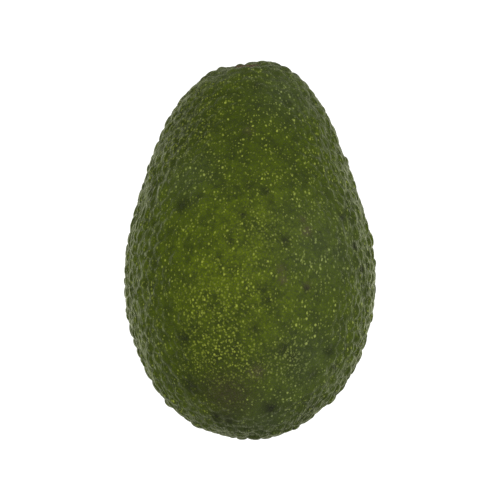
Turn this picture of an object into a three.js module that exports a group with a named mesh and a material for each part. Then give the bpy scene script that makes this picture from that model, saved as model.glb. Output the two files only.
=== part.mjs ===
// An avocado of the dark, pebbly kind, as picked, lying on its side.
// Millimetres, +Z up. The origin is the middle of the flat spot that the fruit lies on,
// +Y runs towards the stem end and X runs across the fruit.

import * as THREE from "three";
import { ConvexHull } from "three/addons/math/ConvexHull.js";
import { ImprovedNoise } from "three/addons/math/ImprovedNoise.js";

// Driving dimensions of the fruit
const LENGTH = 100.1;
const WIDTH = 65.6;
const DEPTH = 63.8;
const EGG_TERMS = [-0.222, -0.076, 0.198, 0.176]; // how the outline departs from an ellipse
const STEM_SLANT = 0.035; // the stem end is higher on its +X side by this share
const FLAT_SPOT_DEPTH = 1; // how far the underside is pressed flat

// Relief of the skin
const PEBBLES = 1950;
const PEBBLE_STRAY = 0.55; // of the distance between pebbles
const SETTLE_ROUNDS = 2;
const SETTLE_SHARE = 0.5;
const PEBBLE_RISE = 0.36;
const VALLEY_DROP = 0.24;
const PEBBLE_SPREAD = 0.5; // how much the rise differs from pebble to pebble
const LUMPS = [
  { span: 19, rise: 0.55 },
  { span: 8.5, rise: 0.28 },
];
const LUMP_ORIGIN = { x: 109, y: 185.9, z: 49.3 }; // where in the noise the fruit is cut from

// Stem end: a bowl in the skin, off the fruit's own axis, with the woody button in it
const STEM_OFFSET = { across: -0.4, up: 6.6 };
const STEM_BOWL = { radius: 5.2, depth: 2.8 };
const STEM_SHOULDER = { radius: 7.4, width: 2, rise: 0.45 };
const BUTTON_RADIUS = 3.1;
const BUTTON_HEIGHT = 1.5;
const BUTTON_CLEARANCE = 0.52; // above the bottom of the bowl
const BUTTON_SIDES = 26;

// Blossom end: a shallow dent, and the small scar where the flower was
const BLOSSOM_DENT = { across: -3.4, up: 3.6, radius: 7.5, depth: 0.7 };
const BLOSSOM_SCAR = { across: -0.4, up: -0.8, radius: 1.5, depth: 0.5 };

const SEED = 4817;
const GOLDEN_ANGLE = Math.PI * (3 - Math.sqrt(5));
const MERIDIAN_STEPS = 1440;

const SKIN = new THREE.MeshStandardMaterial({ color: 0x4a571e, roughness: 0.5, metalness: 0 });
const WOOD = new THREE.MeshStandardMaterial({ color: 0x5b4630, roughness: 0.85, metalness: 0 });

// Returns a function that gives the same run of numbers from 0 to 1 for the same seed.
function randomRun(seed) {
  let state = seed;
  return () => {
    state = (Math.imul(state, 1664525) + 1013904223) >>> 0;
    return state / 2 ** 32;
  };
}

function smoothStep(from, to, x) {
  const t = Math.min(Math.max((x - from) / (to - from), 0), 1);
  return t * t * (3 - 2 * t);
}

// The outline's distance from the axis at an angle from the stem end, before it is scaled to the width.
function outlineRadius(theta) {
  const t = Math.cos(theta);
  const swell = EGG_TERMS.reduce((sum, term, i) => sum + term * t ** (i + 1), 1);
  return Math.sin(theta) * swell;
}

const meridianAngles = Array.from(
  { length: MERIDIAN_STEPS + 1 },
  (_, i) => (Math.PI * i) / MERIDIAN_STEPS,
);
const FULLEST = Math.max(...meridianAngles.map(outlineRadius));

// A point of the smooth fruit, about its own axis: theta from the stem end, phi from the top towards +X.
function smoothPoint(theta, phi) {
  const share = outlineRadius(theta) / FULLEST / 2;
  const along = Math.cos(theta);
  const across = WIDTH * share * Math.sin(phi);
  const slant = STEM_SLANT * across * smoothStep(0.6, 1, along);
  return new THREE.Vector3(across, (LENGTH / 2) * along + slant, DEPTH * share * Math.cos(phi));
}

function smoothNormal(theta, phi) {
  const step = 1e-3;
  const safe = Math.min(Math.max(theta, step * 2), Math.PI - step * 2);
  const down = smoothPoint(safe + step, phi).sub(smoothPoint(safe - step, phi));
  const round = smoothPoint(safe, phi + step).sub(smoothPoint(safe, phi - step));
  return down.cross(round).normalize();
}

// For each angle of the meridian: the skin's area up to it, and the latitude on a ball at which
// the ball's surface looks the same as the fruit's, with no stretch.
function meridianTable() {
  const radius = (theta) => (((WIDTH + DEPTH) / 4) * outlineRadius(theta)) / FULLEST;
  const rows = [];
  let area = 0;
  let logTangent = 0;
  for (let i = 1; i < MERIDIAN_STEPS; i++) {
    const theta = meridianAngles[i];
    const before = meridianAngles[i - 1];
    const rise = (LENGTH / 2) * (Math.cos(before) - Math.cos(theta));
    const length = Math.hypot(rise, radius(theta) - radius(before));
    const middle = radius((theta + before) / 2);
    area += 2 * Math.PI * middle * length;
    logTangent += i > 1 ? length / middle : 0;
    rows.push({ theta, area, logTangent });
  }
  const widest = rows.reduce((best, row) => (radius(row.theta) > radius(best.theta) ? row : best));
  for (const row of rows) {
    row.latitude = 2 * Math.atan(Math.exp(row.logTangent - widest.logTangent));
  }
  return rows;
}

const MERIDIAN = meridianTable();
const SKIN_AREA = MERIDIAN.at(-1).area;
const PEBBLE_PITCH = Math.sqrt(SKIN_AREA / PEBBLES);

// Reads one column of the table at a value of another, by straight lines between rows.
function lookUp(column, value, wanted) {
  let low = 0;
  let high = MERIDIAN.length - 1;
  if (value <= MERIDIAN[low][column]) return MERIDIAN[low][wanted];
  if (value >= MERIDIAN[high][column]) return MERIDIAN[high][wanted];
  while (high - low > 1) {
    const middle = (low + high) >> 1;
    if (MERIDIAN[middle][column] > value) high = middle;
    else low = middle;
  }
  const a = MERIDIAN[low];
  const b = MERIDIAN[high];
  const share = (value - a[column]) / (b[column] - a[column]);
  return a[wanted] + share * (b[wanted] - a[wanted]);
}

// A place on the smooth fruit that lies beside one of its ends, by how far it is across and up.
function placeAtEnd(end, { across, up }) {
  const phi = Math.atan2(across, up);
  const away = Math.hypot(across, up) / ((WIDTH / 2) * (outlineRadius(0.1) / Math.sin(0.1)) / FULLEST);
  const theta = end === "stem" ? away : Math.PI - away;
  return { point: smoothPoint(theta, phi), normal: smoothNormal(theta, phi) };
}

const STEM = placeAtEnd("stem", STEM_OFFSET);
const DENT = placeAtEnd("blossom", BLOSSOM_DENT);
const SCAR = placeAtEnd("blossom", BLOSSOM_SCAR);

const noise = new ImprovedNoise();

// How far the skin stands off the smooth fruit at a point, apart from its pebbles.
function broadRelief(point) {
  const { x, y, z } = LUMP_ORIGIN;
  const lumps = LUMPS.reduce(
    (sum, { span, rise }) =>
      sum + rise * noise.noise(point.x / span + x, point.y / span + y, point.z / span + z),
    0,
  );
  const fromStem = point.distanceTo(STEM.point);
  const bowl = STEM_BOWL.depth * Math.exp(-((fromStem / STEM_BOWL.radius) ** 4));
  const shoulder =
    STEM_SHOULDER.rise *
    Math.exp(-(((fromStem - STEM_SHOULDER.radius) / STEM_SHOULDER.width) ** 2));
  const dent =
    BLOSSOM_DENT.depth * Math.exp(-((point.distanceTo(DENT.point) / BLOSSOM_DENT.radius) ** 4));
  const scar =
    BLOSSOM_SCAR.depth * Math.exp(-((point.distanceTo(SCAR.point) / BLOSSOM_SCAR.radius) ** 2));
  return lumps * smoothStep(3, 9, fromStem) + shoulder - bowl - dent - scar;
}

// The pebbles fade out inside the bowl, where the skin is drawn smooth.
function pebbleShare(point) {
  return smoothStep(3.5, 7.5, point.distanceTo(STEM.point));
}

// The pebbles' first places: a golden spiral with an equal area of skin each, strayed by chance.
function strayedSpiral(random) {
  const places = [];
  for (let i = 0; i < PEBBLES; i++) {
    const theta = lookUp("area", ((i + 0.5) / PEBBLES) * SKIN_AREA, "theta");
    const radius = Math.max((WIDTH / 2) * (outlineRadius(theta) / FULLEST), PEBBLE_PITCH);
    const down = (2 * random() - 1) * PEBBLE_STRAY * PEBBLE_PITCH;
    const round = (2 * random() - 1) * PEBBLE_STRAY * PEBBLE_PITCH;
    const strayed = Math.min(Math.max(theta + (2 * down) / LENGTH, 0.01), Math.PI - 0.01);
    places.push({ theta: strayed, phi: i * GOLDEN_ANGLE + round / radius });
  }
  return places;
}

function onBall({ theta, phi }) {
  const latitude = lookUp("theta", theta, "latitude");
  return new THREE.Vector3(
    Math.sin(latitude) * Math.sin(phi),
    Math.cos(latitude),
    Math.sin(latitude) * Math.cos(phi),
  );
}

function fromBall(direction) {
  const latitude = Math.acos(Math.min(Math.max(direction.y, -1), 1));
  return {
    theta: lookUp("latitude", latitude, "theta"),
    phi: Math.atan2(direction.x, direction.z),
  };
}

function netOf(balls) {
  return new ConvexHull().setFromPoints(balls);
}

// Calls visit(pebble, neighbour, edge) for each way from a pebble of the net to one beside it.
function eachSide(net, balls, visit) {
  const indexOf = new Map(balls.map((ball, i) => [ball, i]));
  for (const face of net.faces) {
    for (let k = 0; k < 3; k++) {
      const edge = face.getEdge(k);
      visit(indexOf.get(edge.tail().point), indexOf.get(edge.head().point), edge);
    }
  }
}

// Moves each pebble part of the way to the middle of those beside it, so that none are crowded.
function settled(balls) {
  const middles = balls.map(() => new THREE.Vector3());
  eachSide(netOf(balls), balls, (pebble, neighbour) => middles[pebble].add(balls[neighbour]));
  return balls.map((ball, i) => ball.clone().lerp(middles[i].normalize(), SETTLE_SHARE).normalize());
}

// Joins the pebbles into a net of triangles on the ball. Each pebble's cell then runs from its
// raised middle to the sunk corners that it shares with the cells beside it.
function pebbledSkin() {
  const random = randomRun(SEED);
  let balls = strayedSpiral(random).map(onBall);
  for (let round = 0; round < SETTLE_ROUNDS; round++) balls = settled(balls);
  const net = netOf(balls);
  const places = balls.map(fromBall);
  const points = places.map(({ theta, phi }) => smoothPoint(theta, phi));

  const room = points.map(() => 0);
  const sides = points.map(() => 0);
  eachSide(net, balls, (pebble, neighbour) => {
    room[pebble] += points[pebble].distanceTo(points[neighbour]);
    sides[pebble] += 1;
  });
  const vertices = points.map((point, i) => {
    const size = room[i] / sides[i] / PEBBLE_PITCH;
    const rise = PEBBLE_RISE * size * (1 + PEBBLE_SPREAD * (2 * random() - 1));
    const height = broadRelief(point) + rise * pebbleShare(point);
    return point.clone().addScaledVector(smoothNormal(places[i].theta, places[i].phi), height);
  });

  const cornerOf = new Map();
  for (const face of net.faces) {
    const middle = new THREE.Vector3();
    for (let k = 0; k < 3; k++) middle.add(face.getEdge(k).head().point);
    const { theta, phi } = fromBall(middle.normalize());
    const point = smoothPoint(theta, phi);
    const height = broadRelief(point) - VALLEY_DROP * pebbleShare(point);
    cornerOf.set(face, vertices.length);
    vertices.push(point.addScaledVector(smoothNormal(theta, phi), height));
  }

  const triangles = [];
  eachSide(net, balls, (pebble, neighbour, edge) => {
    triangles.push(pebble, cornerOf.get(edge.twin.face), cornerOf.get(edge.face));
  });
  return { vertices, triangles };
}

// The middle of a closed mesh's volume.
function centreOfVolume({ vertices, triangles }) {
  const centre = new THREE.Vector3();
  let volume = 0;
  for (let i = 0; i < triangles.length; i += 3) {
    const [a, b, c] = [0, 1, 2].map((k) => vertices[triangles[i + k]]);
    const share = a.dot(new THREE.Vector3().crossVectors(b, c)) / 6;
    volume += share;
    centre.addScaledVector(new THREE.Vector3().add(a).add(b).add(c), share / 4);
  }
  return centre.divideScalar(volume);
}

// The place on the underside where the fruit balances: its normal there runs through the centre.
function restingPlace(centre) {
  const misses = (theta) => {
    const reach = centre.clone().sub(smoothPoint(theta, Math.PI));
    return reach.cross(smoothNormal(theta, Math.PI)).x;
  };
  let low = Math.PI * 0.3;
  let high = Math.PI * 0.6;
  const sign = Math.sign(misses(low));
  while (high - low > 1e-6) {
    const middle = (low + high) / 2;
    if (Math.sign(misses(middle)) === sign) low = middle;
    else high = middle;
  }
  const normal = smoothNormal(low, Math.PI);
  return {
    point: smoothPoint(low, Math.PI).addScaledVector(normal, -FLAT_SPOT_DEPTH),
    normal,
  };
}

// Presses what lies past the resting plane back onto it, as the fruit's own weight does.
function pressFlat(vertices, { point, normal }) {
  for (const vertex of vertices) {
    const past = vertex.clone().sub(point).dot(normal);
    if (past > 0) vertex.addScaledVector(normal, -past);
  }
}

function fruitMesh(skin) {
  const geometry = new THREE.BufferGeometry();
  geometry.setAttribute(
    "position",
    new THREE.Float32BufferAttribute(skin.vertices.flatMap((v) => v.toArray()), 3),
  );
  geometry.setIndex(skin.triangles);
  geometry.computeVertexNormals();
  const mesh = new THREE.Mesh(geometry, SKIN);
  mesh.name = "fruit";
  return mesh;
}

// The woody stub of the stalk: a low disc with a raised rim, a sunk middle and an uneven edge.
function stemButtonMesh() {
  const r = BUTTON_RADIUS;
  const h = BUTTON_HEIGHT;
  const profile = [
    [0, 0],
    [0.5 * r, 0],
    [0.86 * r, 0.06 * h],
    [r, 0.36 * h],
    [0.95 * r, 0.7 * h],
    [0.78 * r, 0.95 * h],
    [0.56 * r, h],
    [0.36 * r, 0.84 * h],
    [0, 0.76 * h],
  ].map(([radius, height]) => new THREE.Vector2(radius, height));
  const geometry = new THREE.LatheGeometry(profile, BUTTON_SIDES);
  const places = geometry.getAttribute("position");
  for (let i = 0; i < places.count; i++) {
    const turn = Math.atan2(places.getX(i), places.getZ(i));
    const edge = 1 + 0.035 * Math.sin(3 * turn + 0.6) + 0.03 * Math.sin(7 * turn);
    const top = 1 + 0.06 * Math.sin(2 * turn + 1.2) * smoothStep(0.5 * h, h, places.getY(i));
    places.setXYZ(i, places.getX(i) * edge, places.getY(i) * top, places.getZ(i) * edge);
  }
  const mesh = new THREE.Mesh(geometry, WOOD);
  mesh.name = "stem_button";
  const floor = BUTTON_CLEARANCE - STEM_BOWL.depth;
  mesh.position.copy(STEM.point).addScaledVector(STEM.normal, floor);
  mesh.quaternion.setFromUnitVectors(new THREE.Vector3(0, 1, 0), STEM.normal);
  return mesh;
}

// The fruit is grown about its own axis, then laid down so that it balances on its flat spot.
function layDown() {
  const skin = pebbledSkin();
  const rest = restingPlace(centreOfVolume(skin));
  pressFlat(skin.vertices, rest);

  const grown = new THREE.Group();
  grown.position.copy(rest.point).negate();
  grown.add(fruitMesh(skin), stemButtonMesh());

  const lying = new THREE.Group();
  lying.rotation.x = -Math.atan2(rest.normal.y, -rest.normal.z);
  lying.add(grown);
  return lying;
}

export default layDown();
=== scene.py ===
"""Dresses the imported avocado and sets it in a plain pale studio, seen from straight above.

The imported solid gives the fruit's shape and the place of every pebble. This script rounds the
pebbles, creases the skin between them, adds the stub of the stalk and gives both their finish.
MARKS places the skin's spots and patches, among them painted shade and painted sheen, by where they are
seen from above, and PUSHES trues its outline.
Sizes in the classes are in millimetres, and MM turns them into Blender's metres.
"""

import logging
import math
import random
from collections import defaultdict
from collections.abc import Callable, Iterator
from contextlib import contextmanager
from dataclasses import dataclass, field
from enum import Enum

import bmesh
import bpy
import numpy as np
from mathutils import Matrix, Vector, noise


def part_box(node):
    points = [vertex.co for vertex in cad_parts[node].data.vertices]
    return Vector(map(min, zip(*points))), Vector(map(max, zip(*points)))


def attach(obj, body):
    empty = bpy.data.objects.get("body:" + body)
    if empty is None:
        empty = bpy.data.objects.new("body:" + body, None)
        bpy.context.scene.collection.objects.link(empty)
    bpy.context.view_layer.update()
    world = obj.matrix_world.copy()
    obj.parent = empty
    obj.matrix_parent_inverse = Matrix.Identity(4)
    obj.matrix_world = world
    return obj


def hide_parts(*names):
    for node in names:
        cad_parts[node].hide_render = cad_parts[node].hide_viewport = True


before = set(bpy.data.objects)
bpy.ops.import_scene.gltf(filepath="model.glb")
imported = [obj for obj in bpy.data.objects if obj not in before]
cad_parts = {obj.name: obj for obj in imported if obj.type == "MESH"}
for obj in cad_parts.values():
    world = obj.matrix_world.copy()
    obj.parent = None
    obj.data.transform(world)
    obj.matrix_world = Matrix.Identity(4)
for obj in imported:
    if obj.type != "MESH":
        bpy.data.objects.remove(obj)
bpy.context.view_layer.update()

MM = 0.001
BODY = "root"
DRIFT_SEED = 11
LOG = logging.getLogger("avocado")

Colour = tuple[float, float, float]
Socket = bpy.types.NodeSocket


def seen_colour(red: int, green: int, blue: int) -> Colour:
    """Turns a colour as a screen shows it, from 0 to 255 a channel, into the light it stands for."""

    def light(level: int) -> float:
        share = level / 255
        return share / 12.92 if share <= 0.04045 else ((share + 0.055) / 1.055) ** 2.4

    return light(red), light(green), light(blue)


def fade(start: float, end: float, values: np.ndarray) -> np.ndarray:
    """Rises smoothly from 0 where the values are at start to 1 where they are at end."""
    share = np.clip((values - start) / (end - start), 0, 1)
    return share * share * (3 - 2 * share)


def bell(distances: np.ndarray, radius: float) -> np.ndarray:
    """Falls from 1 at no distance to 0 some way past the radius."""
    return np.exp(-((distances / radius) ** 2))


# Work on meshes


def choose_nothing() -> None:
    """Leaves no piece selected."""
    for other in bpy.context.selected_objects:
        other.select_set(False)


def choose(piece: bpy.types.Object) -> None:
    """Makes a piece the only one selected, and the active one."""
    choose_nothing()
    piece.select_set(True)
    bpy.context.view_layer.objects.active = piece


@contextmanager
def editing(piece: bpy.types.Object, select: str = "SELECT") -> Iterator[None]:
    """Holds a piece in edit mode, with all of it selected, or none of it with select="DESELECT"."""
    choose(piece)
    bpy.ops.object.mode_set(mode="EDIT")
    bpy.ops.mesh.select_mode(type="FACE")
    bpy.ops.mesh.select_all(action=select)
    try:
        yield
    finally:
        bpy.ops.object.mode_set(mode="OBJECT")


def select_faces(piece: bpy.types.Object, wanted: Callable[[bmesh.types.BMFace], bool]) -> None:
    """Selects, of a piece in edit mode, the faces that a test accepts, and no others."""
    bpy.ops.mesh.select_all(action="DESELECT")
    mesh = bmesh.from_edit_mesh(piece.data)
    for face in mesh.faces:
        face.select_set(wanted(face))
    bmesh.update_edit_mesh(piece.data)


def finish_with(piece: bpy.types.Object, kind: str, **settings: object) -> None:
    """Adds a modifier to a piece, sets it and applies it.

    Args:
        piece: The piece.
        kind: The modifier's type, as Blender names it.
        settings: Its settings by name.
    """
    choose(piece)
    modifier = piece.modifiers.new(kind.lower(), kind)
    for name, value in settings.items():
        setattr(modifier, name, value)
    bpy.ops.object.modifier_apply(modifier=modifier.name)


def points_of(piece: bpy.types.Object) -> np.ndarray:
    """Gives a piece's vertices in millimetres, one row each."""
    points = np.zeros(len(piece.data.vertices) * 3, np.float32)
    piece.data.vertices.foreach_get("co", points)
    return points.reshape(-1, 3).astype(float) / MM


def move_points(piece: bpy.types.Object, points: np.ndarray) -> None:
    """Puts a piece's vertices at these places, in millimetres."""
    piece.data.vertices.foreach_set("co", (points * MM).astype(np.float32).ravel())
    piece.data.update()


def normals_of(piece: bpy.types.Object) -> np.ndarray:
    """Gives the direction that the surface faces at each of a piece's vertices."""
    normals = np.zeros(len(piece.data.vertices) * 3, np.float32)
    piece.data.vertex_normals.foreach_get("vector", normals)
    return normals.reshape(-1, 3).astype(float)


def edges_of(piece: bpy.types.Object) -> np.ndarray:
    """Gives the two vertices of each of a piece's edges."""
    ends = np.zeros(len(piece.data.edges) * 2, np.int32)
    piece.data.edges.foreach_get("vertices", ends)
    return ends.reshape(-1, 2)


def read_field(piece: bpy.types.Object, name: str) -> np.ndarray:
    """Reads a number that a piece carries at each vertex."""
    values = np.zeros(len(piece.data.vertices), np.float32)
    piece.data.attributes[name].data.foreach_get("value", values)
    return values.astype(float)


def write_field(piece: bpy.types.Object, name: str, values: np.ndarray) -> None:
    """Writes a number at each of a piece's vertices, for a material or a later step to read."""
    attribute = piece.data.attributes.get(name) or piece.data.attributes.new(name, "FLOAT", "POINT")
    attribute.data.foreach_set("value", values.astype(np.float32))


def evened(values: np.ndarray, edges: np.ndarray, rounds: int, held: np.ndarray) -> np.ndarray:
    """Evens a number out along a mesh's edges.

    Args:
        values: The number at each vertex.
        edges: The two vertices of each edge.
        rounds: How many times each vertex moves half way to the mean of those beside it.
        held: True at the vertices that keep their number.

    Returns:
        The evened number at each vertex.
    """
    count = len(values)
    beside = np.bincount(edges.ravel(), minlength=count)
    for _ in range(rounds):
        total = np.bincount(edges[:, 0], values[edges[:, 1]], count)
        total += np.bincount(edges[:, 1], values[edges[:, 0]], count)
        values = np.where(held, values, (values + total / beside) / 2)
    return values


def rough(points: np.ndarray, span: float, offset: Vector, octaves: int = 1) -> np.ndarray:
    """Gives a soft random number from about -1 to 1 at each point.

    Args:
        points: The points, in millimetres.
        span: How far apart its hills are, in millimetres.
        offset: Where in the noise the piece is cut from.
        octaves: How many finer layers are added.
    """
    if octaves == 1:
        return np.array([noise.noise(Vector(p) / span + offset) for p in points])
    return np.array([noise.fractal(Vector(p) / span + offset, 0.9, 2.1, octaves) for p in points])


def drift(points: np.ndarray, span: float, offset: Vector) -> np.ndarray:
    """Gives a soft random direction at each point, with no part longer than about 1.

    Blender starts these directions from the clock, so the seed is what makes each run the same.
    """
    noise.seed_set(DRIFT_SEED)
    return np.array([noise.noise_vector(Vector(p) / span + offset) for p in points])


# Where things are seen


@dataclass(frozen=True)
class Viewpoint:
    """The camera's place: straight above the fruit, looking down, with the stem end up."""

    across: float = 0.18
    along: float = 2.55
    height: float = 471.0
    widest_at: float = 31.0  # the height at which the fruit is widest
    lens: float = 120.0
    sensor: float = 36.0

    def place(self) -> Vector:
        """Gives the camera's place in metres."""
        return Vector((self.across, self.along, self.height)) * MM

    def build(self) -> None:
        """Adds the camera and looks through it."""
        data = bpy.data.cameras.new("overhead_camera")
        data.lens = self.lens
        data.sensor_width = self.sensor
        data.clip_start = 0.01
        data.clip_end = 20
        camera = bpy.data.objects.new("overhead_camera", data)
        camera.location = self.place()
        bpy.context.scene.collection.objects.link(camera)
        bpy.context.scene.camera = camera

    def seen_on(self, piece: bpy.types.Object, across: float, along: float) -> Vector:
        """Finds the place on a piece that is seen at a point of the level of its widest line.

        Args:
            piece: The piece, lying under the camera.
            across: The point's X, in millimetres.
            along: The point's Y, in millimetres.

        Returns:
            The place on the piece, in millimetres.
        """
        aim = Vector((across, along, self.widest_at)) * MM
        hit, place, _, _ = piece.ray_cast(self.place(), (aim - self.place()).normalized())
        if not hit:
            _, place, _, _ = piece.closest_point_on_mesh(aim)
        return place / MM


class Tone(Enum):
    """What a mark does to the skin's colour. The value names the field that carries it."""

    # dark spots on the skin; its broad weak marks are painted shade
    SHADE = "shade"
    RUSSET = "russet"
    GLOW = "glow"
    STREAK = "streak"
    # paler grey-green: some wax bloom, and painted sheen at the sides and ends
    BLOOM = "bloom_and_sheen"
    CROWD = "crowd"


@dataclass(frozen=True)
class Mark:
    """A soft round mark on the skin, placed by where it is seen from above."""

    tone: Tone
    across: float
    along: float
    radius: float
    strength: float = 1.0


MARKS = (
    Mark(Tone.GLOW, -5.0, 1.0, 15.0, 0.75),
    Mark(Tone.GLOW, -8.5, -13.0, 9.0, 0.55),
    Mark(Tone.GLOW, 4.5, -8.0, 8.0, 0.5),
    Mark(Tone.GLOW, 3.0, 14.0, 7.0, 0.35),
    Mark(Tone.GLOW, 18.0, 9.0, 6.0, 0.5),
    # The broad, weak dark marks that follow darken the skin toward its two ends: partly its own darker
    # green, partly painted shade.
    Mark(Tone.SHADE, 1.0, 36.0, 13.0, 0.15),
    Mark(Tone.SHADE, -18.0, 36.0, 10.0, 0.3),
    Mark(Tone.SHADE, -3.0, -46.0, 12.0, 0.45),
    Mark(Tone.SHADE, 14.0, -41.0, 9.0, 0.4),
    Mark(Tone.SHADE, -17.0, -33.0, 8.0, 0.3),
    # Paler grey-green patches toward the sides and ends: partly bloom, partly painted sheen.
    Mark(Tone.BLOOM, 20.0, 4.0, 14.0, 0.6),
    Mark(Tone.BLOOM, 16.0, -28.0, 11.0, 0.6),
    Mark(Tone.BLOOM, 10.0, 44.0, 9.0, 0.6),
    Mark(Tone.BLOOM, 4.0, -43.0, 9.0, 0.8),
    Mark(Tone.BLOOM, -16.0, 22.0, 7.0, 0.5),
    Mark(Tone.STREAK, 17.9, -0.6, 5.0),
    Mark(Tone.STREAK, 12.0, -24.0, 5.0, 0.5),
    Mark(Tone.CROWD, -7.5, -24.0, 8.5),
    Mark(Tone.CROWD, -13.0, -12.0, 6.0, 0.6),
    Mark(Tone.CROWD, 10.8, -27.5, 5.0, 0.7),
    Mark(Tone.CROWD, -3.0, -9.0, 6.0, 0.5),
    Mark(Tone.CROWD, 3.0, 8.0, 6.0, 0.4),
    Mark(Tone.SHADE, 2.0, 46.1, 1.6, 0.7),
    Mark(Tone.SHADE, 10.2, 41.3, 1.5, 0.6),
    Mark(Tone.SHADE, -0.1, 19.2, 1.2, 0.7),
    Mark(Tone.SHADE, 4.4, 18.1, 1.3, 0.7),
    Mark(Tone.SHADE, 5.5, 15.2, 1.1, 0.6),
    Mark(Tone.SHADE, -25.7, 18.4, 1.8, 0.7),
    Mark(Tone.SHADE, -17.5, 14.4, 2.0, 0.8),
    Mark(Tone.SHADE, -13.0, 16.8, 1.2, 0.6),
    Mark(Tone.SHADE, -1.7, 11.8, 1.3, 0.8),
    Mark(Tone.SHADE, 24.5, 11.3, 1.3, 1.0),
    Mark(Tone.SHADE, -5.1, 4.7, 1.2, 0.8),
    Mark(Tone.SHADE, 9.4, 4.9, 1.6, 0.8),
    Mark(Tone.SHADE, 27.9, 3.6, 1.1, 1.0),
    Mark(Tone.SHADE, -26.2, 1.8, 1.6, 0.35),
    Mark(Tone.SHADE, -24.6, -1.4, 1.6, 0.35),
    Mark(Tone.SHADE, 29.7, -2.5, 1.2, 1.0),
    Mark(Tone.SHADE, 3.4, -7.5, 1.4, 0.7),
    Mark(Tone.SHADE, 4.7, -10.6, 1.3, 0.8),
    Mark(Tone.SHADE, 15.2, -7.6, 0.8, 0.9),
    Mark(Tone.SHADE, 1.2, -18.3, 1.8, 0.7),
    Mark(Tone.SHADE, -17.2, -20.7, 2.0, 0.8),
    Mark(Tone.SHADE, 8.9, -23.3, 1.6, 0.7),
    Mark(Tone.SHADE, 21.0, -24.4, 1.6, 0.7),
    Mark(Tone.SHADE, 11.5, -25.7, 1.4, 0.7),
    Mark(Tone.SHADE, 16.8, -30.2, 1.5, 0.7),
    Mark(Tone.SHADE, 22.3, -28.6, 1.5, 0.7),
    Mark(Tone.SHADE, -15.1, -33.6, 2.2, 0.8),
    Mark(Tone.SHADE, -5.8, -42.3, 2.3, 1.0),
    Mark(Tone.SHADE, -8.4, -41.6, 1.8, 1.0),
    Mark(Tone.SHADE, 5.8, -39.3, 2.2, 0.9),
    Mark(Tone.SHADE, -6.0, -35.0, 8.0, 0.42),
    Mark(Tone.RUSSET, -5.5, -35.5, 6.5, 0.45),
    Mark(Tone.RUSSET, -0.1, 34.0, 1.4, 0.5),
    Mark(Tone.RUSSET, 14.2, 10.7, 0.9, 0.7),
    Mark(Tone.RUSSET, 15.2, 7.6, 1.3, 1.0),
    Mark(Tone.RUSSET, 8.4, -2.5, 1.2, 0.7),
    Mark(Tone.RUSSET, 8.9, -5.4, 1.0, 1.0),
    Mark(Tone.RUSSET, 15.2, -6.9, 1.0, 0.6),
    Mark(Tone.RUSSET, 2.0, -29.6, 1.8, 0.8),
)


@dataclass(frozen=True)
class Push:
    """A soft push of the skin, which trues its outline."""

    place: tuple[float, float, float]
    radius: float
    shift: tuple[float, float, float]


PUSHES = (
    Push((3.4, 52.0, 21.0), 6.0, (0.0, 1.05, 0.0)),
    Push((12.4, 47.5, 30.0), 3.0, (0.25, 0.75, 0.0)),
    Push((-8.2, 50.0, 31.0), 3.0, (0.0, -0.6, 0.0)),
    Push((21.5, 35.5, 31.0), 5.0, (0.25, 0.15, 0.0)),
    Push((29.8, -22.5, 31.0), 4.0, (-0.4, 0.25, 0.0)),
    Push((20.5, -37.5, 31.0), 6.5, (-0.25, 0.25, 0.0)),
    Push((-23.0, -36.0, 31.0), 5.0, (0.2, 0.2, 0.0)),
)


# Node trees


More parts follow.
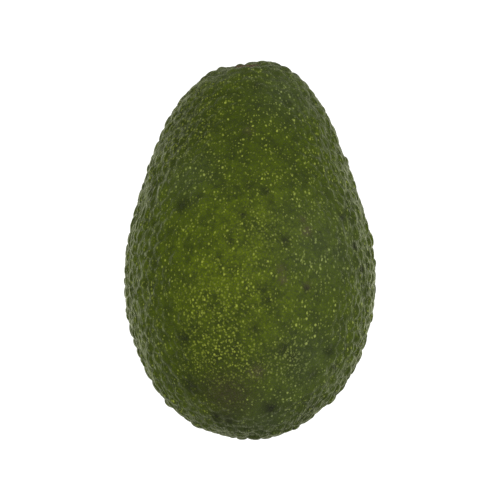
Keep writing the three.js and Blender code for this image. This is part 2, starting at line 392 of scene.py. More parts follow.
@dataclass(frozen=True)
class Graph:
    """A node tree, with the few ways in which this script adds to it."""

    tree: bpy.types.NodeTree

    def node(self, kind: str, **settings: object) -> bpy.types.Node:
        """Adds a node of a kind and sets its own settings by name."""
        made = self.tree.nodes.new(kind)
        for name, value in settings.items():
            setattr(made, name, value)
        return made

    def put(self, value: object, socket: Socket) -> None:
        """Feeds a socket from another one, or sets it to a constant."""
        if isinstance(value, Socket):
            self.tree.links.new(value, socket)
        else:
            socket.default_value = value

    def maths(self, operation: str, first: object, second: object = 0.0, held: bool = True) -> Socket:
        """Adds a sum of two numbers, held between 0 and 1 unless told otherwise, and gives its result."""
        made = self.node("ShaderNodeMath", operation=operation, use_clamp=held)
        self.put(first, made.inputs[0])
        self.put(second, made.inputs[1])
        return made.outputs[0]

    def times(self, first: object, second: object, held: bool = True) -> Socket:
        """Multiplies two numbers, and holds the result as maths does."""
        return self.maths("MULTIPLY", first, second, held)

    def mix(self, share: object, first: object, second: object) -> Socket:
        """Mixes two colours by a share and gives the result."""
        made = self.node("ShaderNodeMix", data_type="RGBA")
        self.put(share, made.inputs["Factor"])
        for name, colour in (("A", first), ("B", second)):
            socket = next(s for s in made.inputs if s.name == name and s.type == "RGBA")
            self.put((*colour, 1.0) if isinstance(colour, tuple) else colour, socket)
        return next(s for s in made.outputs if s.type == "RGBA")

    def step(self, value: object, start: float, end: float, low: float = 0.0, high: float = 1.0) -> Socket:
        """Turns a number from start to end into one that runs smoothly from low to high."""
        made = self.node("ShaderNodeMapRange", interpolation_type="SMOOTHSTEP")
        for name, setting in (
            ("Value", value),
            ("From Min", start),
            ("From Max", end),
            ("To Min", low),
            ("To Max", high),
        ):
            self.put(setting, made.inputs[name])
        return made.outputs["Result"]

    def grain(self, place: object, span: float, detail: float) -> Socket:
        """Adds soft noise whose hills are a span apart, in millimetres, and gives its height."""
        made = self.node("ShaderNodeTexNoise")
        self.put(place, made.inputs["Vector"])
        made.inputs["Scale"].default_value = 1 / span
        made.inputs["Detail"].default_value = detail
        return made.outputs["Fac"]

    def centred(self, value: object) -> Socket:
        """Moves a number from 0 to 1 so that its middle is at 0."""
        return self.maths("SUBTRACT", value, 0.5, held=False)

    def field(self, name: str, kind: str = "Fac") -> Socket:
        """Reads a number, or a vector, that the piece carries at each vertex."""
        return self.node("ShaderNodeAttribute", attribute_name=name).outputs[kind]

    def millimetres(self) -> Socket:
        """Gives the place on the piece, in millimetres."""
        place = self.node("ShaderNodeTexCoord").outputs["Object"]
        made = self.node("ShaderNodeVectorMath", operation="SCALE")
        self.put(place, made.inputs[0])
        made.inputs["Scale"].default_value = 1 / MM
        return made.outputs[0]

    def stretched(self, place: object, turn: float, stretch: float) -> Socket:
        """Draws a pattern out along a line that is turned from Y about Z, in degrees."""
        made = self.node("ShaderNodeMapping", vector_type="TEXTURE")
        self.put(place, made.inputs["Vector"])
        made.inputs["Rotation"].default_value = (0, 0, math.radians(turn))
        made.inputs["Scale"].default_value = (1, stretch, 1)
        return made.outputs[0]

    def frayed(self, place: object, span: float, reach: float) -> Socket:
        """Shifts a pattern's place by soft noise, so that its edges are uneven.

        Args:
            place: The place, in millimetres.
            span: How far apart the noise's hills are, in millimetres.
            reach: How far a place is shifted at most, in millimetres.
        """
        cloud = self.node("ShaderNodeTexNoise")
        self.put(place, cloud.inputs["Vector"])
        cloud.inputs["Scale"].default_value = 1 / span
        centred = self.node("ShaderNodeVectorMath", operation="SUBTRACT")
        self.put(cloud.outputs["Color"], centred.inputs[0])
        centred.inputs[1].default_value = (0.5, 0.5, 0.5)
        made = self.node("ShaderNodeVectorMath", operation="MULTIPLY_ADD")
        self.put(centred.outputs[0], made.inputs[0])
        made.inputs[1].default_value = (2 * reach,) * 3
        self.put(place, made.inputs[2])
        return made.outputs[0]

    def group(self, group: bpy.types.NodeTree, **values: object) -> bpy.types.Node:
        """Places a node group and feeds its inputs by name, with _ for a space."""
        made = self.node("ShaderNodeGroup", node_tree=group)
        for name, value in values.items():
            self.put(value, made.inputs[name.replace("_", " ")])
        return made

    def bump(self, height: object, depth: float, below: object = None) -> Socket:
        """Bends the shading by a height, whose whole range is a depth in millimetres."""
        made = self.node("ShaderNodeBump")
        self.put(height, made.inputs["Height"])
        made.inputs["Distance"].default_value = depth * MM
        if below is not None:
            self.put(below, made.inputs["Normal"])
        return made.outputs["Normal"]


def new_group(
    name: str, inputs: dict[str, str], outputs: dict[str, str]
) -> tuple[Graph, bpy.types.Node, bpy.types.Node]:
    """Starts a shader node group.

    Args:
        name: The group's name.
        inputs: Its inputs by name, each with its socket type.
        outputs: Its outputs by name, each with its socket type.

    Returns:
        The group's graph, the node that gives its inputs and the node that takes its outputs.
    """
    tree = bpy.data.node_groups.new(name, "ShaderNodeTree")
    for sockets, way in ((inputs, "INPUT"), (outputs, "OUTPUT")):
        for socket, kind in sockets.items():
            tree.interface.new_socket(name=socket, in_out=way, socket_type=kind)
    graph = Graph(tree)
    return graph, graph.node("NodeGroupInput"), graph.node("NodeGroupOutput")


def speck_group() -> bpy.types.NodeTree:
    """Builds the group for small round spots, sown at random and each of its own strength.

    Returns:
        A group that takes a place in millimetres, the spots' spacing and radius, and the share of
        places left empty, and puts out a mask of the spots.
    """
    number = "NodeSocketFloat"
    graph, given, out = new_group(
        "specks",
        {"Place": "NodeSocketVector", "Spacing": number, "Radius": number, "Empty": number},
        {"Mask": number},
    )
    spacing = given.outputs["Spacing"]
    cells = graph.node("ShaderNodeTexVoronoi", feature="F1")
    graph.put(given.outputs["Place"], cells.inputs["Vector"])
    graph.put(graph.maths("DIVIDE", 1.0, spacing, held=False), cells.inputs["Scale"])
    reach = graph.maths("DIVIDE", given.outputs["Radius"], spacing, held=False)
    near = graph.maths("DIVIDE", cells.outputs["Distance"], reach, held=False)
    spot = graph.step(near, 1.0, 0.35)
    chance = graph.node("ShaderNodeSeparateColor")
    graph.put(cells.outputs["Color"], chance.inputs[0])
    kept = graph.maths("GREATER_THAN", chance.outputs[0], given.outputs["Empty"])
    strength = graph.step(chance.outputs[1], 0.0, 1.0, 0.4, 1.0)
    shown = graph.times(spot, kept)
    graph.put(graph.times(shown, strength), out.inputs["Mask"])
    return graph.tree


def mottle_group() -> bpy.types.NodeTree:
    """Builds the group for blotchy unevenness at three sizes.

    Returns:
        A group that takes a place in millimetres and a span, and puts out soft blotches of that
        span, finer mottle and the finest grain, each from 0 to 1.
    """
    number = "NodeSocketFloat"
    graph, given, out = new_group(
        "mottle",
        {"Place": "NodeSocketVector", "Span": number},
        {"Blotch": number, "Mottle": number, "Grain": number},
    )
    for name, share, detail in (("Blotch", 1.0, 2.0), ("Mottle", 0.34, 2.0), ("Grain", 0.08, 3.0)):
        span = graph.times(given.outputs["Span"], share, held=False)
        cloud = graph.node("ShaderNodeTexNoise")
        graph.put(given.outputs["Place"], cloud.inputs["Vector"])
        graph.put(graph.maths("DIVIDE", 1.0, span, held=False), cloud.inputs["Scale"])
        cloud.inputs["Detail"].default_value = detail
        graph.put(graph.step(cloud.outputs["Fac"], 0.32, 0.68), out.inputs[name])
    return graph.tree


@dataclass(frozen=True)
class Groups:
    """The node groups that both finishes use."""

    specks: bpy.types.NodeTree = field(default_factory=speck_group)
    mottle: bpy.types.NodeTree = field(default_factory=mottle_group)


def start_material(name: str) -> tuple[bpy.types.Material, Graph, bpy.types.Node]:
    """Starts a material and gives it, its graph and its one shader."""
    material = bpy.data.materials.new(name)
    material.use_nodes = True
    graph = Graph(material.node_tree)
    return material, graph, material.node_tree.nodes["Principled BSDF"]


@dataclass(frozen=True)
class SkinFinish:
    """Satin avocado skin: dull and lively green in blotches, yellow-green specks, brown scars, painted
    shade in the creases and painted sheen at the rims.
    """

    dull: Colour = seen_colour(60, 73, 14)
    lively: Colour = seen_colour(90, 108, 2)
    glowing: Colour = seen_colour(112, 130, 2)
    # darker green of random mottle, pits and crowded specks, and the painted shade of the creases
    dark_mottle_and_crease_shade: Colour = seen_colour(50, 58, 18)
    dark: Colour = seen_colour(30, 33, 21)
    brown: Colour = seen_colour(88, 72, 52)
    # grey-green of the bloom and of the painted sheen at the rims
    bloom_and_sheen: Colour = seen_colour(80, 90, 66)
    speck: Colour = seen_colour(182, 194, 66)
    # speck colour under the painted sheen of the rims
    sheened_speck: Colour = seen_colour(170, 184, 112)
    roughness: float = 0.2
    blotch_span: float = 4.6
    speck_stretch: float = 1.3  # how many times longer than wide the specks are, along the fruit
    streak_turn: float = -24
    streak_stretch: float = 2.8
    relief: float = 0.42  # how deep the shading makes the creases, past the skin's own shape
    wrinkle_height: float = 0.42
    wrinkle_span: float = 1.6

    def build(self, groups: Groups) -> bpy.types.Material:
        """Builds the skin's material."""
        material, graph, shader = start_material("avocado_skin")
        place = graph.millimetres()
        mottle = graph.group(groups.mottle, Place=place, Span=self.blotch_span)
        blotch, fine, grain = (mottle.outputs[name] for name in ("Blotch", "Mottle", "Grain"))
        crest = graph.field("crest")

        patches = graph.step(blotch, 0.0, 1.0, 0.12, 0.56)
        liveliness = graph.maths("ADD", graph.step(fine, 0.0, 1.0, 0.0, 0.35), patches)
        green = graph.mix(liveliness, self.dull, self.lively)
        green = graph.mix(graph.times(graph.field("glow"), liveliness), green, self.glowing)
        # Painted shade: darker green in the creases between the pebbles, where the crest field is low.
        green = graph.mix(graph.step(crest, 0.35, 0.0, 0.0, 0.12), green, self.dark_mottle_and_crease_shade)
        green = graph.mix(graph.step(grain, 0.0, 1.0, 0.0, 0.5), green, self.dark_mottle_and_crease_shade)
        # Paler grey-green where the bloom field is high: some bloom, and painted sheen where the skin
        # turns away from above.
        green = graph.mix(graph.times(graph.field("bloom_and_sheen"), 0.5), green, self.bloom_and_sheen)

        frayed = graph.frayed(place, 0.8, 0.24)
        crowd = graph.step(graph.grain(place, 3.6, 2.0), 0.36, 0.56, 0.5, 1.0)
        oval = graph.stretched(frayed, 0, self.speck_stretch)
        few = graph.group(groups.specks, Place=oval, Spacing=1.2, Radius=0.37, Empty=0.38)
        many = graph.group(groups.specks, Place=oval, Spacing=0.66, Radius=0.25, Empty=0.42)
        slanted = graph.stretched(frayed, self.streak_turn, self.streak_stretch)
        drawn = graph.group(groups.specks, Place=slanted, Spacing=0.95, Radius=0.29, Empty=0.2)
        streaks = graph.times(graph.times(drawn.outputs[0], 1.3), graph.field("streak"))
        specks = graph.times(many.outputs[0], 0.75)
        specks = graph.maths("MAXIMUM", specks, few.outputs[0])
        specks = graph.maths("MAXIMUM", graph.times(specks, crowd), streaks)
        close = graph.group(groups.specks, Place=frayed, Spacing=0.8, Radius=0.38, Empty=0.1)
        crowded = graph.times(close.outputs[0], graph.field("crowd"))
        specks = graph.maths("MAXIMUM", specks, crowded)
        green = graph.mix(graph.times(graph.field("crowd"), 0.4), green, self.dark_mottle_and_crease_shade)

        shade = graph.times(graph.field("shade"), graph.step(fine, 0.0, 1.0, 0.65, 1.0))
        russet = graph.times(graph.field("russet"), graph.step(grain, 0.1, 0.7, 0.35, 1.0))
        pits = graph.group(groups.specks, Place=frayed, Spacing=0.9, Radius=0.4, Empty=0.45)
        green = graph.mix(graph.times(pits.outputs[0], 0.4), green, self.dark_mottle_and_crease_shade)
        colour = graph.mix(shade, green, self.dark)
        colour = graph.mix(graph.times(russet, 0.75), colour, self.brown)
        lit = graph.times(specks, graph.step(shade, 0.0, 0.8, 0.85, 0.25))
        # Specks turn paler where the bloom field is high: painted sheen over the specks at the rims.
        speck_sheen = graph.times(graph.field("bloom_and_sheen"), 1.3)
        colour = graph.mix(lit, colour, graph.mix(speck_sheen, self.speck, self.sheened_speck))
        graph.put(colour, shader.inputs["Base Color"])

        gloss = graph.step(grain, 0.0, 1.0, self.roughness - 0.06, self.roughness + 0.08)
        scar = graph.step(shade, 0.5, 0.9)
        worn = graph.times(graph.maths("MAXIMUM", russet, scar), 0.25)
        graph.put(graph.maths("ADD", gloss, worn), shader.inputs["Roughness"])

        drawn_out = graph.frayed(graph.field("lengthwise", "Vector"), 3.0, 0.9)
        ridge = graph.maths("ABSOLUTE", graph.centred(graph.grain(drawn_out, self.wrinkle_span, 1.0)))
        wrinkle = graph.step(ridge, 0.2, 0.0, -0.4, 0.6)
        loose = graph.maths("SUBTRACT", graph.field("wild"), scar)
        wrinkle = graph.times(wrinkle, loose, held=False)
        netted = graph.bump(wrinkle, self.wrinkle_height, graph.bump(graph.field("relief"), self.relief))
        pores = graph.bump(graph.grain(place, 0.55, 3.0), 0.06, netted)
        graph.put(graph.bump(specks, 0.02, pores), shader.inputs["Normal"])
        return material


@dataclass(frozen=True)
class StalkFinish:
    """Dry broken stalk wood: brown, paler and corky where it is worn, with painted shade in its cracks and
    sunk middle.
    """

    wood: Colour = seen_colour(118, 94, 58)
    cork: Colour = seen_colour(150, 128, 96)
    # dark wood in random flecks and pores, and the painted shade of the cracks and sunk middle
    dark_wood_and_hollow_shade: Colour = seen_colour(58, 46, 30)
    roughness: float = 0.85

    def build(self, groups: Groups) -> bpy.types.Material:
        """Builds the stalk wood's material."""
        material, graph, shader = start_material("stalk_wood")
        place = graph.millimetres()
        mottle = graph.group(groups.mottle, Place=place, Span=1.6)
        pores = graph.group(groups.specks, Place=place, Spacing=0.4, Radius=0.14, Empty=0.4)
        colour = graph.mix(mottle.outputs["Blotch"], self.wood, self.cork)
        colour = graph.mix(graph.step(mottle.outputs["Mottle"], 0.5, 0.0, 0.0, 0.8), colour, self.dark_wood_and_hollow_shade)
        colour = graph.mix(graph.times(pores.outputs[0], 0.7), colour, self.dark_wood_and_hollow_shade)
        # Painted shade: darker in the cracks and the sunk middle.
        colour = graph.mix(graph.step(graph.field("hollow_shade"), 0.0, 1.0, 0.0, 0.75), colour, self.dark_wood_and_hollow_shade)
        graph.put(colour, shader.inputs["Base Color"])
        shader.inputs["Roughness"].default_value = self.roughness
        graph.put(graph.bump(mottle.outputs["Grain"], 0.12), shader.inputs["Normal"])
        return material


# The pieces


@dataclass(frozen=True)
class StemEnd:
    """The place and direction of the stalk's stub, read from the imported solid."""

    node: str = "stem_button"

    def centre(self) -> Vector:
        """Gives the middle of the stub, in millimetres."""
        low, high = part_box(self.node)
        return (low / MM + high / MM) / 2

    def outward(self) -> Vector:
        """Gives the direction in which the stub faces: that in which it is thinnest."""
        points = points_of(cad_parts[self.node])
        _, _, directions = np.linalg.svd(points - points.mean(0), full_matrices=False)
        thin = Vector(directions[2])
        return thin if thin.y > 0 else -thin


@dataclass
class PebbledSkin:
    """The fruit's whole skin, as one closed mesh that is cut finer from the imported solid.

    Each of the solid's pebbles is a fan of triangles round a raised top. The top becomes a round
    dome, and the fan's outer edge the crease that the skin has between its pebbles.
    """

    cuts: int = 3
    evening_rounds: int = 26
    pebble_height: float = 0.4
    height_spread: float = 0.55
    dome_rounds: int = 8
    dome_power: float = 1.8  # how much rounder than a cone a pebble is
    crease_fill: float = 0.6
    sink: float = 0.04
    calm_from: float = 0.2  # how far the skin faces up where its pebbles start to flatten
    calm_to: float = 0.85
    calm_share: float = 0.4
    wander: float = 0.9
    wander_span: float = 3.8
    grain_height: float = 0.05
    grain_stretch: float = 3.2
    grain_breadth: float = 33.0  # how far from the fruit's axis the grain is at its true width
    grain_core: float = 8.0
    bowl_radius: float = 3.6
    bowl_reach: float = 11.0
    pucker_height: float = 0.16
    puckers: int = 17
    collar_radius: float = 4.3  # how far out the brown collar round the stub reaches
    painted_rim_sheen: float = 0.45  # how much paler the skin is painted where it turns away from above: painted sheen of the rims
    hidden_spots: int = 70
    hidden_patches: int = 6
    seed: int = 20

    def build(self, stem: StemEnd, view: Viewpoint) -> bpy.types.Object:
        """Builds the skin.

        Args:
            stem: Where the stalk's stub is.
            view: Where the marks are seen from.

        Returns:
            The piece, with the fields that its finish reads.
        """
        skin = self._copy_of_solid()
        self._find_pebbles(skin)
        with editing(skin):
            bpy.ops.mesh.subdivide(number_cuts=self.cuts)
        self._even_out(skin)
        self._true_outline(skin)
        self._let_creases_wander(skin)
        self._raise_pebbles(skin, stem)
        self._press_flat(skin)
        self._lay_grain(skin)
        self._mark(skin, view, stem)
        with editing(skin):
            bpy.ops.mesh.faces_shade_smooth()
        return skin

    def _copy_of_solid(self) -> bpy.types.Object:
        """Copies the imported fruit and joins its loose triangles."""
        choose(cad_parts["fruit"])
        bpy.ops.object.duplicate()
        skin = bpy.context.active_object
        skin.name = "pebbled_skin"
        skin.data.name = "pebbled_skin"
        skin.data.materials.clear()
        bpy.ops.mesh.customdata_custom_splitnormals_clear()
        with editing(skin):
            bpy.ops.mesh.remove_doubles(threshold=1e-6)
        for key in [name for name in skin.keys() if name.startswith("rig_")]:
            del skin[key]
        skin.parent = None
        return skin

    def _find_pebbles(self, skin: bpy.types.Object) -> None:
        """Writes two fields at each pebble's top, crest, which is 1, and bulge, its own height."""
        faces = [tuple(polygon.vertices) for polygon in skin.data.polygons]
        beside: dict[frozenset[int], list[int]] = defaultdict(list)
        for index, corners in enumerate(faces):
            for k in range(3):
                beside[frozenset((corners[k], corners[k - 1]))].append(index)
        fans = np.bincount(np.ravel(faces))

        # A crease corner always has six triangles, so a vertex with another number is a top.
        first = next(i for i, corners in enumerate(faces) if any(fans[c] != 6 for c in corners))
        top_of = {first: next(c for c in faces[first] if fans[c] != 6)}
        waiting = [first]
        while waiting:
            index = waiting.pop()
            for k in range(3):
                edge = frozenset((faces[index][k], faces[index][k - 1]))
                for other in beside[edge]:
                    if other in top_of:
                        continue
                    shared = top_of[index] in edge
                    far = next(c for c in faces[other] if c not in edge)
                    top_of[other] = top_of[index] if shared else far
                    waiting.append(other)

        points = points_of(skin)
        reach: dict[int, list[float]] = defaultdict(list)
        for index, top in top_of.items():
            for corner in faces[index]:
                if corner != top:
                    reach[top].append(float(np.linalg.norm(points[corner] - points[top])))
        typical = float(np.mean([length for lengths in reach.values() for length in lengths]))
        chance = random.Random(self.seed)
        crest = np.zeros(len(points))
        bulge = np.zeros(len(points))
        for top in sorted(reach):
            crest[top] = 1.0
            size = float(np.mean(reach[top])) / typical
            bulge[top] = size * (1 + self.height_spread * (2 * chance.random() - 1))
        write_field(skin, "crest", crest)
        write_field(skin, "bulge", bulge)

    def _even_out(self, skin: bpy.types.Object) -> None:
        """Evens out the solid's faceted pebbles, and gives back the breadth that this takes away."""
        before = points_of(skin)
        finish_with(skin, "SMOOTH", factor=0.5, iterations=self.evening_rounds)
        after = points_of(skin)
        edges = edges_of(skin)
        free = np.zeros(len(before), bool)
        lost = [evened(before[:, k] - after[:, k], edges, 2 * self.evening_rounds, free) for k in range(3)]
        move_points(skin, after + np.stack(lost, axis=1))

    def _true_outline(self, skin: bpy.types.Object) -> None:
        """Pushes the skin softly where the solid's outline is a little off."""
        points = points_of(skin)
        shift = np.zeros_like(points)
        for push in PUSHES:
            near = bell(np.linalg.norm(points - np.array(push.place), axis=1), push.radius)
            shift += near[:, None] * np.array(push.shift)
        move_points(skin, points + shift)

    def _let_creases_wander(self, skin: bpy.types.Object) -> None:
        """Slides the skin's points along it, so that the creases aren't straight."""
        points = points_of(skin)
        normals = normals_of(skin)
        slide = self.wander * drift(points, self.wander_span, Vector((3.1, 8.7, 1.9)))
        slide -= normals * np.sum(slide * normals, axis=1)[:, None]
        move_points(skin, points + slide)

    def _raise_pebbles(self, skin: bpy.types.Object, stem: StemEnd) -> None:
        """Raises each pebble as a dome, with fine grain over all and puckers round the stem bowl.

        The field wild says how wrinkled the finish draws the skin, and relief how deep its creases.
        """
        points = points_of(skin)
        edges = edges_of(skin)
        crest = read_field(skin, "crest")
        bulge = read_field(skin, "bulge") / np.maximum(crest, 1e-3)
        crease = crest < 1e-4
        crest = evened(crest, edges, self.dome_rounds, crease)
        crest /= np.percentile(crest, 99)
        bulge = np.where(crease, 1.0, bulge)
        crest = np.clip(crest, 0, 1)
        dome = 1 - (1 - crest) ** self.dome_power
        upward = normals_of(skin)[:, 2]
        calm = fade(self.calm_from, self.calm_to, upward)
        shallow = fade(-0.1, 0.55, rough(points, 5.5, Vector((7.7, 2.3, 5.1))))
        height = self.pebble_height * bulge * (dome + self.crease_fill * shallow * (1 - dome))
        height *= 1 - self.calm_share * calm

        from_stem = np.linalg.norm(points - np.array(stem.centre()), axis=1)
        height *= fade(self.bowl_radius, self.bowl_reach, from_stem)
        height += self.grain_height * rough(points, 1.1, Vector((1.3, 4.1, 9.2)), octaves=2)
        height += self._puckers(points, from_stem, stem)
        height -= self.sink
        move_points(skin, points + normals_of(skin) * height[:, None])
        write_field(skin, "crest", dome)
        uneven = fade(-0.5, 0.5, rough(points, 4.5, Vector((4.4, 1.1, 0.3))))
        write_field(skin, "wild", (1 - calm) * fade(-0.3, 0.3, upward))
        write_field(skin, "relief", (fade(0, 1, crest) - 0.5) * (0.3 + 0.7 * uneven) * (1 - calm))

    def _puckers(self, points: np.ndarray, from_stem: np.ndarray, stem: StemEnd) -> np.ndarray:
        """Gives the height of the small folds that run out of the stem bowl."""
        outward = stem.outward()
        side = outward.orthogonal().normalized()
        up = outward.cross(side)
        away = points - np.array(stem.centre())
        turn = np.arctan2(away @ np.array(up), away @ np.array(side))
        wobble = 1.2 * rough(points, 3.0, Vector((5.5, 0.7, 3.3)))
        ring = fade(2.6, 4.4, from_stem) * (1 - fade(5.2, 8.6, from_stem))
        return self.pucker_height * np.cos(self.puckers * turn + 3 * wobble) * ring

    def _press_flat(self, skin: bpy.types.Object) -> None:
        """Presses what has sunk below the table back up to it."""
        points = points_of(skin)
        points[:, 2] = np.maximum(points[:, 2], 0.0)
        move_points(skin, points)

    def _lay_grain(self, skin: bpy.types.Object) -> None:
        """Writes the place that a pattern reads to run lengthwise over the fruit, drawn out."""
        points = points_of(skin)
        middle = np.array([0.0, 0.0, points[:, 2].max() / 2])
        around = (points - middle) * np.array([1.0, 0.0, 1.0])
        breadth = np.sqrt(np.sum(around**2, axis=1) + self.grain_core**2)
        place = around * (self.grain_breadth / breadth)[:, None]
        place[:, 1] = points[:, 1] / self.grain_stretch
        attribute = skin.data.attributes.new("lengthwise", "FLOAT_VECTOR", "POINT")
        attribute.data.foreach_set("vector", place.astype(np.float32).ravel())

    def _mark(self, skin: bpy.types.Object, view: Viewpoint, stem: StemEnd) -> None:
        """Writes a field for each tone: the marks seen from above, random ones out of view, and painted
        sheen where the skin turns away from above.
        """
        points = points_of(skin)
        up = normals_of(skin)[:, 2]
        fields = {tone: np.zeros(len(points)) for tone in Tone}
        # Paler skin where it turns away from above: painted sheen of the rims.
        fields[Tone.BLOOM] = self.painted_rim_sheen * (1 - fade(0.3, 1.0, up))

        def add(tone: Tone, place: np.ndarray, radius: float, strength: float) -> None:
            spot = strength * bell(np.linalg.norm(points - place, axis=1), radius)
            fields[tone] = 1 - (1 - fields[tone]) * (1 - spot)

        for mark in MARKS:
            place = np.array(view.seen_on(skin, mark.across, mark.along))
            add(mark.tone, place, mark.radius, mark.strength)

        chance = random.Random(self.seed + 1)
        hidden = np.flatnonzero(up < 0.05)
        for _ in range(self.hidden_spots):
            place = points[chance.choice(hidden)]
            tone = Tone.SHADE if chance.random() < 0.8 else Tone.RUSSET
            add(tone, place, chance.uniform(0.9, 2.2), chance.uniform(0.5, 1.0))
        for _ in range(self.hidden_patches):
            place = points[chance.choice(hidden)]
            add(Tone.GLOW, place, chance.uniform(8, 14), chance.uniform(0.3, 0.7))
            add(Tone.STREAK, points[chance.choice(hidden)], chance.uniform(4, 7), 0.8)
            add(Tone.CROWD, points[chance.choice(hidden)], chance.uniform(5, 9), 0.8)

        collar = bell(np.linalg.norm(points - np.array(stem.centre()), axis=1), self.collar_radius)
        fields[Tone.RUSSET] = np.maximum(fields[Tone.RUSSET], 0.8 * collar)
        for tone, values in fields.items():
            write_field(skin, tone.value, values)

    def dress(self, skin: bpy.types.Object, material: bpy.types.Material) -> None:
        """Gives the skin its finish and ties it to the solid that it stands for."""
        skin.data.materials.append(material)
        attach(skin, BODY)
        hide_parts("fruit")


@dataclass
class StalkStub:
    """The woody stub in the stem bowl: a low disc with a rolled rim, a sunk middle and cracks."""

    sides: int = 40
    rim_share: float = 0.42
    middle_share: float = 0.3
    middle_depth: float = 0.5
    bevel: float = 0.34
    cracks: int = 9
    crack_depth: float = 0.16
    stand: float = 0.15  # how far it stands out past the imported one

    def build(self, stem: StemEnd) -> bpy.types.Object:
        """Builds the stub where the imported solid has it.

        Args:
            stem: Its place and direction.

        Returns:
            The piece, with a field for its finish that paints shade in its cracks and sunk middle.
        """
        solid = points_of(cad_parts[stem.node])
        outward = np.array(stem.outward())
        along = (solid - np.array(stem.centre())) @ outward
        thickness = float(along.max() - along.min())
        radius = float(np.linalg.norm(solid - np.array(stem.centre()), axis=1).max())
        radius = math.sqrt(max(radius**2 - (thickness / 2) ** 2, 1.0)) * 0.97

        choose_nothing()
        bpy.ops.mesh.primitive_cylinder_add(
            vertices=self.sides, radius=radius * MM, depth=thickness * MM, end_fill_type="NGON"
        )
        stub = bpy.context.active_object
        stub.name = "stalk_stub"
        stub.data.name = "stalk_stub"
        with editing(stub, "DESELECT"):
            select_faces(stub, lambda face: face.normal.z > 0.9)
            bpy.ops.mesh.inset(thickness=radius * self.rim_share * MM)
            bpy.ops.transform.translate(value=(0, 0, 0.12 * MM))
            bpy.ops.mesh.inset(thickness=radius * self.middle_share * MM)
            bpy.ops.transform.translate(value=(0, 0, -self.middle_depth * MM))
            bpy.ops.mesh.inset(thickness=radius * 0.16 * MM)
            select_faces(stub, lambda face: face.normal.z < -0.9)
            bpy.ops.mesh.inset(thickness=radius * 0.4 * MM)
        finish_with(stub, "BEVEL", width=self.bevel * MM, segments=3, limit_method="ANGLE")
        with editing(stub):
            bpy.ops.mesh.quads_convert_to_tris()
            bpy.ops.mesh.subdivide(number_cuts=3)
        finish_with(stub, "SMOOTH", factor=0.5, iterations=6)
        self._weather(stub, radius, thickness)
        stub.rotation_mode = "QUATERNION"
        stub.rotation_quaternion = stem.outward().to_track_quat("Z", "Y")
        stub.location = (stem.centre() + self.stand * stem.outward()) * MM
        choose(stub)
        bpy.ops.object.transform_apply(location=True, rotation=True, scale=True)
        with editing(stub):
            bpy.ops.mesh.normals_make_consistent(inside=False)
            bpy.ops.mesh.faces_shade_smooth()
        return stub

    def _weather(self, stub: bpy.types.Object, radius: float, thickness: float) -> None:
        """Makes the stub's edge uneven, splits its top with cracks and paints shade where it is hollow."""
        points = points_of(stub)
        turn = np.arctan2(points[:, 1], points[:, 0])
        out = np.linalg.norm(points[:, :2], axis=1) / radius
        top = fade(-0.1, 0.35, points[:, 2] / thickness)
        edge = 1 + 0.035 * np.sin(3 * turn + 0.6) + 0.03 * np.sin(7 * turn)
        points[:, :2] *= (1 + (edge - 1) * out)[:, None]
        wobble = 1.6 * rough(points, 1.7, Vector((2.2, 5.9, 0.4)))
        split = np.cos(self.cracks * turn + 2 * wobble) ** 24 * fade(0.3, 0.55, out) * top
        lumps = rough(points, 0.9, Vector((9.1, 0.2, 6.6)), octaves=3)
        points[:, 2] -= self.crack_depth * split
        move_points(stub, points + normals_of(stub) * (0.09 * lumps)[:, None])
        # This field paints shade in the cracks and the sunk middle.
        write_field(stub, "hollow_shade", np.clip(split + top * (1 - fade(0.1, 0.5, out)), 0, 1))

    def dress(self, stub: bpy.types.Object, material: bpy.types.Material) -> None:
        """Gives the stub its finish and ties it to the solid that it stands for."""
        stub.data.materials.append(material)
        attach(stub, BODY)
        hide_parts("stem_button")


# The studio


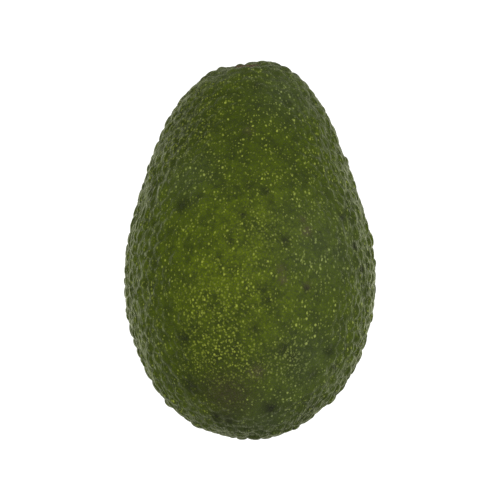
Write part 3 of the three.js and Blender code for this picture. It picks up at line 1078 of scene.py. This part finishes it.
@dataclass(frozen=True)
class Studio:
    """A white table under an even, soft sky, as in a light tent.

    The camera sees the table plain white. The fruit reflects it bright close by and dim further
    off, and reflects little of the sky, as seen past a polariser.
    """

    floor_size: float = 6.0
    floor_paleness: float = 0.3
    floor_sheen: float = 1.0  # how bright the table is in the reflections on the fruit
    far_sheen: float = 0.25  # the share of that which is left away from the fruit
    end_sheen: float = 0.7  # the share of that which is left past the fruit's two ends
    sheen_from: float = 50.0  # how far from the fruit's middle the sheen starts to fall
    sheen_to: float = 150.0
    ends_from: float = 0.5  # the cosine of the angle from Y at which the ends begin
    sheen_tint: Colour = (0.95, 1.0, 0.66)
    horizon: float = 0.35
    sky: float = 0.92
    sky_starts: float = 0.45  # the height above the horizon, from 0 to 1, from which the sky is even
    sky_sheen: float = 0.1  # the share of the sky that the reflections show, as past a polariser
    right_share: float = 1.15

    def build(self) -> None:
        """Builds the floor and the sky, and keeps the picture's colours as they are."""
        self._sky()
        bpy.context.scene.view_settings.view_transform = "Standard"
        self._floor()

    def _floor(self) -> None:
        """Adds the white table."""
        choose_nothing()
        bpy.ops.mesh.primitive_plane_add(size=self.floor_size)
        floor = bpy.context.active_object
        floor.name = "white_table"
        material = bpy.data.materials.new("white_table")
        material.use_nodes = True
        graph = Graph(material.node_tree)
        material.node_tree.nodes.clear()
        rays = graph.node("ShaderNodeLightPath")
        paper = graph.node("ShaderNodeBsdfDiffuse")
        paper.inputs["Color"].default_value = (*(self.floor_paleness,) * 3, 1.0)
        white = graph.node("ShaderNodeEmission")
        graph.put(rays.outputs["Is Camera Ray"], white.inputs["Strength"])
        lit = graph.node("ShaderNodeAddShader")
        graph.put(paper.outputs[0], lit.inputs[0])
        graph.put(white.outputs[0], lit.inputs[1])
        dim = graph.node("ShaderNodeEmission")
        dim.inputs["Color"].default_value = (*self.sheen_tint, 1.0)
        graph.put(self._sheen(graph), dim.inputs["Strength"])
        both = graph.node("ShaderNodeMixShader")
        graph.put(rays.outputs["Is Glossy Ray"], both.inputs[0])
        graph.put(lit.outputs[0], both.inputs[1])
        graph.put(dim.outputs[0], both.inputs[2])
        graph.put(both.outputs[0], graph.node("ShaderNodeOutputMaterial").inputs["Surface"])
        floor.data.materials.append(material)

    def _sheen(self, graph: Graph) -> Socket:
        """Gives how bright each place of the table is in the reflections."""
        place = graph.millimetres()
        away = graph.node("ShaderNodeVectorMath", operation="LENGTH")
        graph.put(place, away.inputs[0])
        parts = graph.node("ShaderNodeSeparateXYZ")
        graph.put(place, parts.inputs[0])
        along = graph.maths("ABSOLUTE", parts.outputs["Y"], held=False)
        turned = graph.maths("DIVIDE", along, away.outputs["Value"], held=False)
        far = self.floor_sheen * self.far_sheen
        near = graph.step(away.outputs["Value"], self.sheen_from, self.sheen_to, self.floor_sheen, far)
        past_ends = graph.step(turned, self.ends_from, 1.0, 1.0, self.end_sheen)
        return graph.times(near, past_ends, held=False)

    def _sky(self) -> None:
        """Sets the world's light, and shows the camera plain white past the table's edge."""
        world = bpy.data.worlds.new("light_tent")
        world.use_nodes = True
        bpy.context.scene.world = world
        graph = Graph(world.node_tree)
        background = world.node_tree.nodes["Background"]
        background.inputs["Color"].default_value = (1, 1, 1, 1)
        parts = graph.node("ShaderNodeSeparateXYZ")
        graph.put(graph.node("ShaderNodeTexCoord").outputs["Generated"], parts.inputs[0])
        level = graph.step(parts.outputs["Z"], 0.0, self.sky_starts, self.horizon, self.sky)
        side = graph.step(parts.outputs["X"], -1.0, 1.0, 2 - self.right_share, self.right_share)
        light = graph.times(level, side, held=False)
        rays = graph.node("ShaderNodeLightPath")
        share = graph.step(rays.outputs["Is Glossy Ray"], 0.0, 1.0, 1.0, self.sky_sheen)
        dimmed = graph.times(light, share, held=False)
        shown = graph.maths("MAXIMUM", dimmed, rays.outputs["Is Camera Ray"], held=False)
        graph.put(shown, background.inputs["Strength"])


def main() -> None:
    """Builds the avocado and its studio, and logs each piece."""
    logging.basicConfig(level=logging.INFO, format="%(name)s: %(message)s")
    view = Viewpoint()
    view.build()
    Studio().build()
    groups = Groups()
    stem = StemEnd()

    peel = PebbledSkin()
    skin = peel.build(stem, view)
    peel.dress(skin, SkinFinish().build(groups))

    stalk = StalkStub()
    stub = stalk.build(stem)
    stalk.dress(stub, StalkFinish().build(groups))

    for piece in (skin, stub):
        LOG.info("%s: %d faces", piece.name, len(piece.data.polygons))


if __name__ == "__main__":
    main()
